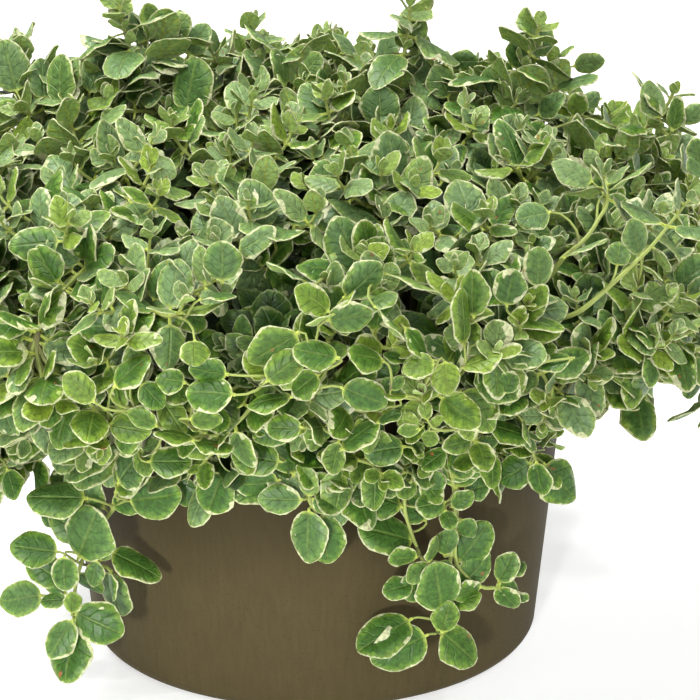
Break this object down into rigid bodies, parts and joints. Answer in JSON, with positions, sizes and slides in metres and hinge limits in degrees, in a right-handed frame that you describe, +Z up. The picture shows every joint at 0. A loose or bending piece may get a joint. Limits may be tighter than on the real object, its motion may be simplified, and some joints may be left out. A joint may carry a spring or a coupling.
{
  "type": "potted oregano plant",
  "caption": "Variegated oregano in a plain round pot: a dense flat-topped mound of small cream-edged leaves on square stems, with a few sprigs trailing down the pot's side.",
  "frame": {"origin": "middle of the pot's flat underside", "axes": "+Z up along the pot's axis, the plant's front faces -Y"},
  "size_m": [0.2961, 0.2972, 0.2159],
  "materials": {
    "pot": "satin",
    "soil": "matte",
    "leaf": "matte"
  },
  "bodies": {
    "root": {"pot": "pot", "soil": "soil", "stem_01": "leaf", "stem_02": "leaf", "stem_03": "leaf", "stem_04": "leaf", "stem_05": "leaf", "stem_06": "leaf", "stem_07": "leaf", "stem_08": "leaf", "stem_09": "leaf", "stem_10": "leaf", "stem_11": "leaf", "stem_12": "leaf", "stem_13": "leaf", "stem_14": "leaf", "stem_15": "leaf", "stem_16": "leaf", "stem_17": "leaf", "stem_18": "leaf", "stem_19": "leaf", "stem_20": "leaf", "stem_21": "leaf", "stem_22": "leaf", "stem_23": "leaf", "stem_24": "leaf", "stem_25": "leaf", "stem_26": "leaf", "stem_27": "leaf", "stem_28": "leaf", "stem_29": "leaf", "stem_30": "leaf", "stem_31": "leaf", "stem_32": "leaf", "stem_33": "leaf", "stem_34": "leaf", "stem_35": "leaf", "stem_36": "leaf", "stem_37": "leaf", "stem_38": "leaf", "stem_39": "leaf", "stem_40": "leaf", "stem_41": "leaf", "stem_42": "leaf", "stem_43": "leaf", "stem_44": "leaf", "stem_45": "leaf", "stem_46": "leaf", "stem_47": "leaf", "stem_48": "leaf", "stem_49": "leaf", "stem_50": "leaf", "stem_51": "leaf", "stem_52": "leaf", "stem_53": "leaf", "stem_54": "leaf"}
  },
  "joints": []
}
